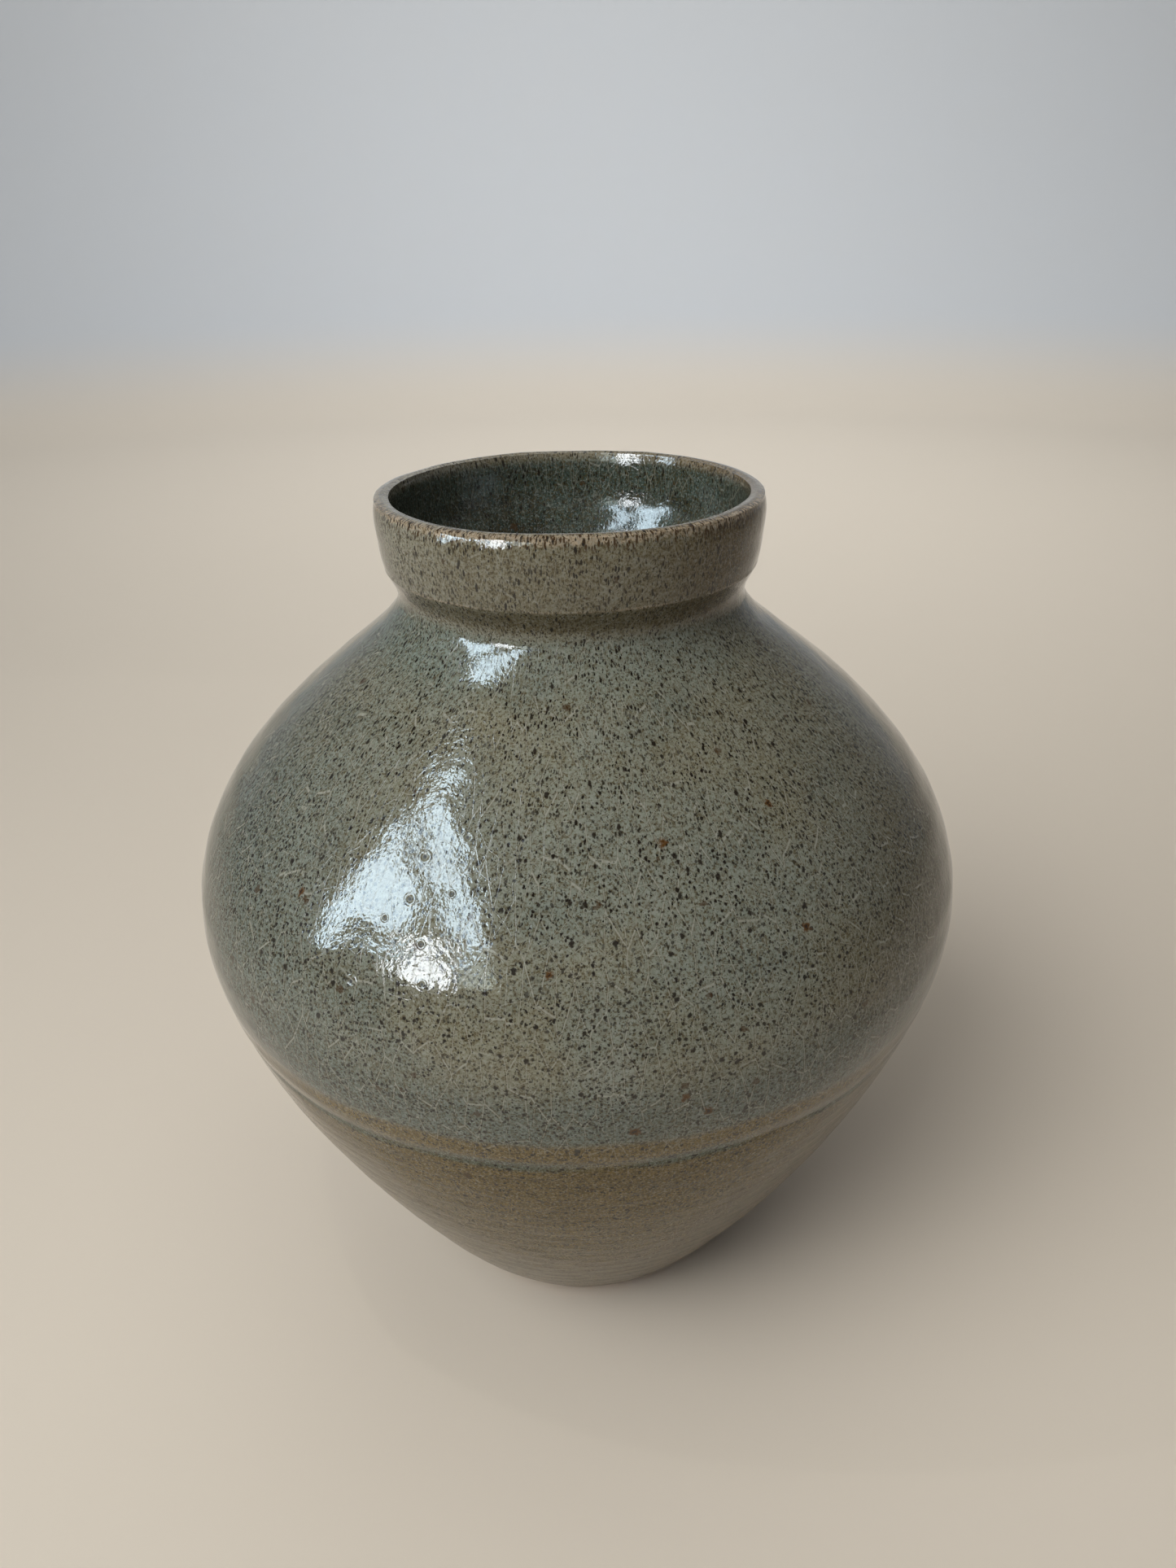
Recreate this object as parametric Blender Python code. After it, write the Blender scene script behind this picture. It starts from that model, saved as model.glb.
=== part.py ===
"""Stoneware vase: a full round body on a small turned foot, a short neck and an upright collar.

The clay is two thrown pieces, the body and the collar that is luted to the body's neck with a
stepped lap. Four coats of glaze lie on the clay, and each coat is a thin closed shell: the thin
coat on the lower wall, the thick second coat above the groove, the coat that wraps the collar
and its lip, and the lining inside.

Metres, +Z up. The vase is a body of revolution about +Z, and its foot rests on z = 0.
"""

import math

import bmesh
import bpy
from mathutils import Vector

GAP = 0.0003
GLAZE = 0.0007

# Outer face of the glazed vase, as (radius, height) where one curve meets the next. The wall
# leaves the foot at a slope, and it is upright at the belly, at the neck and at the rim. Each
# pull is how far a curve's handle stands from its end.
FOOT = Vector((0.0384, 0.0))
BELLY = Vector((0.1017, 0.1272))
NECK = Vector((0.0434, 0.2070))
RIM = Vector((0.0475, 0.2299))
FOOT_PULL = Vector((0.0200, 0.0205))
BELLY_PULL_DOWN = Vector((0, 0.0316))
BELLY_PULL_UP = Vector((0, 0.0450))
NECK_PULL_DOWN = Vector((0, 0.0106))
NECK_PULL_UP = Vector((0, 0.0080))
RIM_PULL_DOWN = Vector((0, 0.0206))

# Wall thickness through the clay and both glazes, as (height, thickness), foot to rim.
WALL = ((0.0, 0.0074), (0.060, 0.0062), (0.130, 0.0054), (0.207, 0.0052), (0.2299, 0.0042))
LIP_THICKNESS = WALL[-1][1]

# Heights on the outer face where one coat or one clay piece ends and the next begins.
GLAZE_LINE = 0.0030
GROOVE = 0.1065
COLLAR_SEAM = 0.2150
LAP = 0.0030
LINING_TOP = 0.2215

# Foot and floor.
FOOT_RING_WIDTH = 0.0085
FOOT_CHAMFER = 0.0010
BARE_CLAY_DEPTH = 0.0002
RECESS_DEPTH = 0.0025
RECESS_SLOPE = 0.0020
FLOOR_HEIGHT = 0.0095
FLOOR_RADIUS = 0.0290
FLOOR_CORNER_TOP = 0.0100

# How finely the round shapes are cut into flats.
SEGMENTS = 36
LOWER_STEPS = 7
UPPER_STEPS = 8
COLLAR_STEPS = 5
LIP_STEPS = 4
CORNER_STEPS = 3
LEAST_STEP = 0.0015
HALVINGS = 50
TOUCHING = 1e-6
SMOOTH_ANGLE = math.radians(40)

CLAY_COLOUR = (0.33, 0.22, 0.13)
LOWER_COLOUR = (0.16, 0.12, 0.06)
SHOULDER_COLOUR = (0.14, 0.145, 0.11)
COLLAR_COLOUR = (0.15, 0.125, 0.08)
LINING_COLOUR = (0.06, 0.085, 0.07)


def curve_between(start, start_pull, end_pull, end):
    """A cubic Bezier that climbs from start to end, as its two ends and two handles."""
    return start, start + start_pull, end - end_pull, end


LOWER_WALL = curve_between(FOOT, FOOT_PULL, BELLY_PULL_DOWN, BELLY)
UPPER_WALL = curve_between(BELLY, BELLY_PULL_UP, NECK_PULL_DOWN, NECK)
COLLAR_WALL = curve_between(NECK, NECK_PULL_UP, RIM_PULL_DOWN, RIM)
OUTER_FACE = ((LOWER_WALL, LOWER_STEPS), (UPPER_WALL, UPPER_STEPS), (COLLAR_WALL, COLLAR_STEPS))


def point_on(curve, t):
    a, b, c, d = curve
    s = 1 - t
    return a * s**3 + b * (3 * s * s * t) + c * (3 * s * t * t) + d * t**3


def normal_on(curve, t):
    """The unit normal on the side away from the vase's axis."""
    a, b, c, d = curve
    s = 1 - t
    along = (b - a) * (s * s) + (c - b) * (2 * s * t) + (d - c) * (t * t)
    return Vector((along.y, -along.x)).normalized()


def fraction_at(curve, height):
    """Where on a curve that climbs all the way it reaches a height."""
    low, high = 0.0, 1.0
    for _ in range(HALVINGS):
        middle = (low + high) / 2
        if point_on(curve, middle).y < height:
            low = middle
        else:
            high = middle
    return (low + high) / 2


def station_at(height):
    """The (point, normal) pair on the outer face at a height."""
    curve = next(curve for curve, steps in OUTER_FACE if height <= curve[-1].y + TOUCHING)
    t = fraction_at(curve, height)
    return point_on(curve, t), normal_on(curve, t)


def shared_heights():
    """Heights that every outline uses, so that faces which touch stay parallel."""
    heights = [GROOVE, COLLAR_SEAM, LINING_TOP]
    for curve, steps in OUTER_FACE:
        heights += [point_on(curve, i / steps).y for i in range(1, steps + 1)]
    return sorted(heights)


def stretch(start_height, end_height):
    """Stations up the outer face from one height to another, both ends included."""
    low = start_height + LEAST_STEP
    high = end_height - LEAST_STEP
    between = [height for height in shared_heights() if low < height < high]
    return [station_at(height) for height in (start_height, *between, end_height)]


def wall_at(height):
    for (low, thick_low), (high, thick_high) in zip(WALL, WALL[1:]):
        if height <= high:
            share = (height - low) / (high - low)
            return thick_low + (thick_high - thick_low) * share
    return LIP_THICKNESS


def inner_stretch(start_height, end_height):
    """The stretch carried through the wall, top to bottom, with normals into the hollow."""
    stations = stretch(start_height, end_height)[::-1]
    return [(point - normal * wall_at(point.y), -normal) for point, normal in stations]


def lip_stations():
    """Half a circle over the lip, from its outer side to its inner side, ends left out."""
    radius = LIP_THICKNESS / 2
    centre = RIM - Vector((radius, 0))
    angles = [math.pi * i / LIP_STEPS for i in range(1, LIP_STEPS)]
    normals = [Vector((math.cos(angle), math.sin(angle))) for angle in angles]
    return [(centre + normal * radius, normal) for normal in normals]


def floor_stations(wall_end):
    """From the foot of the inner wall round the corner to the floor, then in to the axis."""
    start, normal = wall_end
    down = Vector((normal.y, -normal.x))
    corner = start + down * ((FLOOR_HEIGHT - start.y) / down.y)
    end = Vector((FLOOR_RADIUS, FLOOR_HEIGHT))
    stations = []
    for i in range(1, CORNER_STEPS + 1):
        t = i / CORNER_STEPS
        s = 1 - t
        point = start * (s * s) + corner * (2 * s * t) + end * (t * t)
        along = (corner - start) * s + (end - corner) * t
        stations.append((point, Vector((along.y, -along.x)).normalized()))
    stations.append((Vector((0, FLOOR_HEIGHT)), Vector((0, 1))))
    return stations


def layer(stations, depth):
    """The stations' points, moved into the wall by depth."""
    return [point - normal * depth for point, normal in stations]


def turned(name, outline, seat_height, material, parent):
    """Spins a closed (radius, height) outline about the vase's axis into one named solid."""
    form = bmesh.new()
    corners = [form.verts.new((point.x, 0, point.y - seat_height)) for point in outline]
    for pair in zip(corners, corners[1:] + corners[:1]):
        if any(corner.co.x > TOUCHING for corner in pair):
            form.edges.new(pair)
    bmesh.ops.spin(
        form,
        geom=form.verts[:] + form.edges[:],
        cent=(0, 0, 0),
        axis=(0, 0, 1),
        angle=2 * math.pi,
        steps=SEGMENTS,
        use_merge=True,
    )
    bmesh.ops.remove_doubles(form, verts=form.verts, dist=TOUCHING)
    bmesh.ops.recalc_face_normals(form, faces=form.faces)
    mesh = bpy.data.meshes.new(name)
    form.to_mesh(mesh)
    form.free()
    mesh.shade_smooth()
    mesh.set_sharp_from_angle(angle=SMOOTH_ANGLE)
    mesh.materials.append(material)
    piece = bpy.data.objects.new(name, mesh)
    bpy.context.collection.objects.link(piece)
    piece.parent = parent
    piece.location = (0, 0, seat_height)
    return piece


def ceramic(name, colour, roughness, coat):
    material = bpy.data.materials.new(name)
    material.use_nodes = True
    shader = material.node_tree.nodes["Principled BSDF"]
    shader.inputs["Base Color"].default_value = (*colour, 1)
    shader.inputs["Roughness"].default_value = roughness
    shader.inputs["Metallic"].default_value = 0
    shader.inputs["Coat Weight"].default_value = coat
    return material


def clay_body(material, parent):
    """Floor, turned foot ring, wall, shoulder and the neck's stub, with the lap's inner half."""
    clay_depth = GLAZE + GAP
    seam_top = COLLAR_SEAM - GAP / 2
    lap_face = wall_at(COLLAR_SEAM) / 2 + GAP / 2
    outside = stretch(GLAZE_LINE - GAP, seam_top)
    spigot = stretch(seam_top, seam_top + LAP)
    inside = inner_stretch(FLOOR_CORNER_TOP, seam_top + LAP)
    inside += floor_stations(inside[-1])
    foot_edge = FOOT.x - BARE_CLAY_DEPTH
    ring_outer = foot_edge - FOOT_CHAMFER
    ring_inner = ring_outer - FOOT_RING_WIDTH
    outline = [
        Vector((0, RECESS_DEPTH)),
        Vector((ring_inner - RECESS_SLOPE, RECESS_DEPTH)),
        Vector((ring_inner, 0)),
        Vector((ring_outer, 0)),
        Vector((foot_edge, FOOT_CHAMFER)),
    ]
    outline += layer(outside[:1], BARE_CLAY_DEPTH)
    outline += layer(outside, clay_depth)
    outline += layer(spigot, lap_face)
    outline += layer(inside, clay_depth)
    return turned("clay_body", outline, 0.0, material, parent)


def clay_collar(material, parent):
    """The thrown collar and its round lip. Its skirt laps over the spigot on the body's neck."""
    clay_depth = GLAZE + GAP
    seam_bottom = COLLAR_SEAM + GAP / 2
    lap_face = wall_at(COLLAR_SEAM) / 2 - GAP / 2
    outline = layer(stretch(seam_bottom, RIM.y) + lip_stations(), clay_depth)
    outline += layer(inner_stretch(seam_bottom + LAP, RIM.y), clay_depth)
    outline += layer(stretch(seam_bottom, seam_bottom + LAP)[::-1], lap_face)
    return turned("clay_collar", outline, COLLAR_SEAM, material, parent)


def glaze_coat(name, stations, seat_height, material, parent):
    """A coat of even thickness that follows the stations."""
    outline = layer(stations, 0) + layer(stations[::-1], GLAZE)
    return turned(name, outline, seat_height, material, parent)


def lower_wall_glaze(parent):
    stations = stretch(GLAZE_LINE, GROOVE - GAP / 2)
    material = ceramic("thin ash glaze", LOWER_COLOUR, 0.35, 0.5)
    return glaze_coat("lower_wall_glaze", stations, GLAZE_LINE, material, parent)


def shoulder_glaze(parent):
    stations = stretch(GROOVE + GAP / 2, COLLAR_SEAM - GAP / 2)
    material = ceramic("celadon glaze", SHOULDER_COLOUR, 0.2, 1.0)
    return glaze_coat("shoulder_glaze", stations, GROOVE, material, parent)


def collar_glaze(parent):
    """Up the outside of the collar, over the lip and a little way down inside."""
    stations = stretch(COLLAR_SEAM + GAP / 2, RIM.y) + lip_stations()
    stations += inner_stretch(LINING_TOP + GAP / 2, RIM.y)
    material = ceramic("collar glaze", COLLAR_COLOUR, 0.25, 1.0)
    return glaze_coat("collar_glaze", stations, COLLAR_SEAM, material, parent)


def inner_glaze(parent):
    """The lining, from inside the collar down the wall and across the floor."""
    stations = inner_stretch(FLOOR_CORNER_TOP, LINING_TOP - GAP / 2)
    stations += floor_stations(stations[-1])
    material = ceramic("inner celadon glaze", LINING_COLOUR, 0.15, 1.0)
    return glaze_coat("inner_glaze", stations, FLOOR_HEIGHT, material, parent)


for old in list(bpy.data.objects):
    bpy.data.objects.remove(old)

vase = bpy.data.objects.new("vase", None)
bpy.context.collection.objects.link(vase)

clay_body(ceramic("fired stoneware", CLAY_COLOUR, 0.85, 0.0), vase)
clay_collar(ceramic("fired collar clay", CLAY_COLOUR, 0.85, 0.0), vase)
lower_wall_glaze(vase)
shoulder_glaze(vase)
collar_glaze(vase)
inner_glaze(vase)
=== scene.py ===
"""Looks of the stoneware vase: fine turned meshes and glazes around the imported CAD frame.

Every shape is read from the CAD nodes' own outlines, smoothed, and given the potter's marks.
Lengths are metres in meshes and millimetres inside the materials.
"""

import math
from collections import defaultdict

import bmesh
import bpy
import numpy as np
from mathutils import Matrix, Vector, noise


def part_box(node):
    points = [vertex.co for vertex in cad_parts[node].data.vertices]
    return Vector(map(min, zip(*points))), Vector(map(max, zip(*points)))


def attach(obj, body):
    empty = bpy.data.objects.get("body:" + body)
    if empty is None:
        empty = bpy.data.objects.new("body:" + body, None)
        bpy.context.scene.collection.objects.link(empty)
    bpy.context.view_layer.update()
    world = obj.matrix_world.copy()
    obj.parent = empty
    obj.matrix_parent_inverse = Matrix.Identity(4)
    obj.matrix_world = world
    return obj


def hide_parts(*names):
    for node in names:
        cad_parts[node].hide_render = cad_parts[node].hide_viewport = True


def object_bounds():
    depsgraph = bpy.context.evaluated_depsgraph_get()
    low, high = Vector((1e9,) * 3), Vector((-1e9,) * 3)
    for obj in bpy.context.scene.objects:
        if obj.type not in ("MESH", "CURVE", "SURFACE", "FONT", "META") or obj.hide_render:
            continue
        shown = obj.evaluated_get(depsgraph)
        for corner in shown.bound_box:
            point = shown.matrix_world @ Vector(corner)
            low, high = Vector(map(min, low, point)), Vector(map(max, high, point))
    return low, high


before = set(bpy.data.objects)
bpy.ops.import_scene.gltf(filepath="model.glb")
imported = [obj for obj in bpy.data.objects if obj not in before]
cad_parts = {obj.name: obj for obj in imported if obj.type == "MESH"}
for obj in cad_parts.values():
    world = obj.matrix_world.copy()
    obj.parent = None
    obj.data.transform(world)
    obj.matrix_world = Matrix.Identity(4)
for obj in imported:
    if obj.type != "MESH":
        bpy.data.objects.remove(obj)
cad_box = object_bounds()

# In metres: the gap where two coats meet, the glaze's thickness and the longest steps of outlines.
MM = 0.001
SEAM_GAP = 0.0003
GLAZE = 0.0007
DISC_STEP = 0.003
CLAY_STEP = 0.003
TOUCHING = 1e-6

SEGMENTS = 420
SHARP_TURN = math.radians(28)

# Heights of the marks that the potter left, and of the glaze's changes, in millimetres.
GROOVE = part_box("lower_wall_glaze")[1].z / MM
COLLAR_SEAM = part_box("collar_glaze")[0].z / MM
LIP_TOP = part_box("collar_glaze")[1].z / MM
RIDGE = 110.3
DIP_LINE = 115.5
LOW_BELLY = 121.0
NECK_SWELLING = 202.5
NECK_POOL = 203.0
NECK_LINE = 209.8
# Where the painted shade under the collar sits.
COLLAR_UNDERSIDE = 212.0
# From where to where the throwing rings die away, and where the collar's colour comes in.
NECK_FOOT = (196.0, 206.0)
COLLAR_FOOT = (206.5, 210.5)

# The lip's radius, and how far the collar's raised line and the lip's edge stand out.
LIP_RADIUS = 45.4
COLLAR_LINE = 0.16
LIP_EDGE = 0.35

# The glaze's unevenness in four sizes: waves to the metre, height, and place in the noise.
LUMPS = (
    (28, 0.22, (0.0, 0.0, 0.0)),
    (75, 0.13, (3.1, 7.7, 1.9)),
    (170, 0.070, (9.2, 4.4, 6.3)),
    (320, 0.026, (2.7, 5.8, 8.1)),
)

# How strongly light bends in thick glaze, and in the thin coat on the lower wall.
THICK_GLAZE_BEND = 1.5
THIN_GLAZE_BEND = 1.28

# Specks hang from a cylinder of this radius and follow a share of the wall's lean.
DRAPE = 50.0
DRAPE_LEAN = 0.45
# Cracks are unrolled at the belly's or the neck's usual radius.
BELLY_ROUND = 82.0
NECK_ROUND = 47.0


# ---------------------------------------------------------------- outlines from the CAD


def section(node):
    """A turned node's outline as a chain of (radius, height) points.

    It's a loop, or it runs from the axis to the axis where the node closes over it.
    """
    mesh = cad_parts[node].data
    spots = {}
    for vertex in mesh.vertices:
        x, y, z = vertex.co
        if abs(y) < TOUCHING and x > -TOUCHING:
            spots[vertex.index] = (round(max(x, 0.0), 6), round(z, 6))
    links = defaultdict(set)
    for edge in mesh.edges:
        a, b = (spots.get(i) for i in edge.vertices)
        if a and b and a != b:
            links[a].add(b)
            links[b].add(a)
    ends = sorted(spot for spot in links if len(links[spot]) == 1)
    chain = [ends[0] if ends else min(links, key=lambda spot: (spot[1], spot[0]))]
    while True:
        onward = [spot for spot in sorted(links[chain[-1]]) if spot not in chain]
        if not onward:
            break
        chain.append(onward[0])
    if not ends:
        return np.array(chain)
    return np.concatenate([to_axis(chain[0])[::-1], chain, to_axis(chain[-1])])


def to_axis(rim):
    """Points across a flat disc, from just inside its rim to the axis."""
    count = math.ceil(rim[0] / DISC_STEP)
    radii = np.linspace(rim[0], 0.0, count + 1)[1:]
    return np.stack([radii, np.full(count, rim[1])], axis=1)


def coat_faces(node):
    """A glaze coat's outline split at its thin ends, as (free face, face on the clay)."""
    chain = section(node)
    steps = np.linalg.norm(np.roll(chain, -1, axis=0) - chain, axis=1)
    caps = [i for i, step in enumerate(steps) if abs(step - GLAZE) < 0.05 * GLAZE]
    if len(caps) == 1:
        sides = [chain[: caps[0] + 1], chain[caps[0] + 1 :][::-1]]
    else:
        turned = np.roll(chain, -(caps[0] + 1), axis=0)
        cut = caps[1] - caps[0]
        sides = [turned[:cut], turned[cut:][::-1]]
    clay = np.concatenate([section("clay_body"), section("clay_collar")])

    def clearance(side):
        gaps = np.linalg.norm(side[:, None] - clay[None], axis=2)
        return gaps.min(axis=1).mean()

    return sorted(sides, key=clearance, reverse=True)


class Line:
    """A smooth curve through (radius, height) points, measured along its length."""

    def __init__(self, points):
        steps = np.linalg.norm(np.diff(points, axis=0), axis=1)
        self.knots = np.concatenate([[0.0], np.cumsum(steps)])
        self.points = points
        self.bends = self.second_derivatives()
        self.length = self.knots[-1]

    def second_derivatives(self):
        count = len(self.points)
        h = np.diff(self.knots)
        system = np.eye(count)
        right = np.zeros((count, 2))
        slopes = np.diff(self.points, axis=0) / h[:, None]
        for i in range(1, count - 1):
            system[i, i - 1 : i + 2] = h[i - 1], 2 * (h[i - 1] + h[i]), h[i]
            right[i] = 6 * (slopes[i] - slopes[i - 1])
        return np.linalg.solve(system, right)

    def at(self, along):
        """(points, outward normals) at distances along the curve."""
        along = np.clip(along, 0, self.length)
        i = np.clip(np.searchsorted(self.knots, along) - 1, 0, len(self.knots) - 2)
        h = (self.knots[i + 1] - self.knots[i])[:, None]
        a = (self.knots[i + 1] - along)[:, None] / h
        b = 1 - a
        here, there = self.points[i], self.points[i + 1]
        bend_here, bend_there = self.bends[i], self.bends[i + 1]
        points = a * here + b * there
        points += ((a**3 - a) * bend_here + (b**3 - b) * bend_there) * h**2 / 6
        tangents = (there - here) / h
        tangents += ((3 * b**2 - 1) * bend_there - (3 * a**2 - 1) * bend_here) * h / 6
        normals = np.stack([tangents[:, 1], -tangents[:, 0]], axis=1)
        return points, normals / np.linalg.norm(normals, axis=1)[:, None]

    def distance_of(self, point):
        """Where along the curve its knot nearest to a point lies."""
        return self.knots[np.linalg.norm(self.points - point, axis=1).argmin()]


# ---------------------------------------------------------------- the potter's marks


def bump(height, centre, width):
    """A smooth swelling of height 1 at centre, gone at width either side."""
    return np.exp(-(((height - centre) / (0.5 * width)) ** 2))


def fade(height, low, high):
    """0 below low, 1 above high, with an eased change between."""
    t = np.clip((height - low) / (high - low), 0, 1)
    return t * t * (3 - 2 * t)


def rings(height, pitch, start=0.0):
    """Even waves up the wall, a pitch apart."""
    return np.sin(2 * math.pi * height / pitch + start)


def unsteadiness(angle):
    """How far a line that the potter drew round the vase strays up and down."""
    return 1.1 * np.sin(angle + 0.6) + 0.7 * np.sin(2 * angle + 2.1)


def throwing_marks(angle, height):
    """How far the outer face stands out at an angle and a height, in millimetres."""
    spiral = height + 2.2 * angle / (2 * math.pi)
    wobble = unsteadiness(angle)
    turned = 1 - fade(height, GROOVE - 5, GROOVE)
    thrown = fade(height, DIP_LINE, DIP_LINE + 12) * (1 - fade(height, *NECK_FOOT))
    out = 0.010 * turned * rings(height + 0.3 * wobble, 2.6)
    out += 0.020 * turned * rings(spiral + wobble, 5.3, 1.3)
    out += 0.040 * thrown * rings(spiral + wobble, 8.5)
    out += 0.035 * thrown * rings(spiral - wobble, 13.7, 0.7)
    out -= 0.14 * bump(height, GROOVE + 0.15 * wobble, 2.6)
    out += 0.12 * bump(height, RIDGE + 0.2 * wobble, 3.2)
    out += 0.12 * (fade(height, DIP_LINE - 2.0, DIP_LINE + 1.0) - 1)
    out += COLLAR_LINE * bump(height, COLLAR_SEAM + 0.08 * wobble, 1.1)
    out += 0.08 * bump(height, NECK_LINE + 0.15 * wobble, 1.1)
    out += 0.20 * bump(height, NECK_SWELLING, 6.0)
    return out


def lumps(point):
    """The glaze's slow unevenness at a point given in metres, in millimetres."""
    return sum(high * noise.noise(point * waves + Vector(shift)) for waves, high, shift in LUMPS)


def out_of_round(angle):
    """The slight oval that a hand-thrown form dries to, as a share of its radius."""
    return 0.0012 * np.cos(2 * angle + 3.3) + 0.0006 * np.cos(3 * angle + 1.6)


# ---------------------------------------------------------------- meshes


def turned_mesh(name, outline, closed, relief, lumpy):
    """Spins an outline, (points, normals, shares), about +Z. Shares say how much relief each takes."""
    points, normals, shares = outline
    angles = np.arange(SEGMENTS) * 2 * math.pi / SEGMENTS
    height = points[:, 1] / MM
    verts = []
    for i in range(len(points)):
        r, z = points[i]
        grow = relief(angles, height[i]) * MM * shares[i]
        radius = (r + normals[i][0] * grow) * (1 + out_of_round(angles))
        level = z + normals[i][1] * grow
        ring = np.stack([radius * np.sin(angles), -radius * np.cos(angles), level], axis=1)
        if lumpy and shares[i] > 0:
            for k in range(SEGMENTS):
                place = Vector(ring[k])
                push = lumps(place) * MM * shares[i]
                ring[k, 0] += math.sin(angles[k]) * normals[i][0] * push
                ring[k, 1] -= math.cos(angles[k]) * normals[i][0] * push
                ring[k, 2] += normals[i][1] * push
        verts.append(ring)
    faces = []
    count = len(points)
    for i in range(count if closed else count - 1):
        low = i * SEGMENTS
        high = (i + 1) % count * SEGMENTS
        for k in range(SEGMENTS):
            nxt = (k + 1) % SEGMENTS
            faces.append((low + k, low + nxt, high + nxt, high + k))
    mesh = bpy.data.meshes.new(name)
    mesh.from_pydata(np.concatenate(verts).tolist(), [], faces)
    form = bmesh.new()
    form.from_mesh(mesh)
    if not closed:
        bmesh.ops.remove_doubles(form, verts=form.verts, dist=TOUCHING)
    bmesh.ops.recalc_face_normals(form, faces=form.faces)
    form.to_mesh(mesh)
    form.free()
    mesh.shade_smooth()
    mesh.set_sharp_from_angle(angle=SHARP_TURN)
    return mesh


def add_piece(name, mesh, material, node):
    mesh.materials.append(material)
    piece = bpy.data.objects.new(name, mesh)
    bpy.context.scene.collection.objects.link(piece)
    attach(piece, "root")
    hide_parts(node)
    return piece


def coat_rings(line, start, end, spacing, share):
    """Rings round a coat: up its free face, then back down its clay face."""
    free_count = max(3, round((end - start) / spacing) + 1)
    back_count = max(3, free_count // 8)
    free = np.linspace(start, end, free_count)
    back = np.linspace(end, start, back_count)
    points, normals = line.at(free)
    inner_points, inner_normals = line.at(back)
    inner_points = inner_points - inner_normals * GLAZE
    shares = np.concatenate([np.full(free_count, share), np.zeros(back_count)])
    all_points = np.concatenate([points, inner_points])
    all_points[:, 0] = np.maximum(all_points[:, 0], 0)
    return all_points, np.concatenate([normals, inner_normals]), shares


def glaze_line():
    """One smooth line over every coat: up outside, over the lip, down inside, to the axis."""
    faces = [
        coat_faces(node)[0]
        for node in ("lower_wall_glaze", "shoulder_glaze", "collar_glaze", "inner_glaze")
    ]
    lower, shoulder, collar, lining = faces
    lower = lower if lower[0, 1] < lower[-1, 1] else lower[::-1]
    shoulder = shoulder if shoulder[0, 1] < shoulder[-1, 1] else shoulder[::-1]
    collar = collar if collar[0, 0] > collar[-1, 0] else collar[::-1]
    lining = lining if lining[0, 1] > lining[-1, 1] else lining[::-1]
    line = Line(np.concatenate([lower, shoulder, collar, lining]))
    joins = [line.distance_of(face[-1]) + SEAM_GAP / 2 for face in (lower, shoulder, collar)]
    return line, [0.0, *joins, line.length]


# ---------------------------------------------------------------- materials


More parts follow.
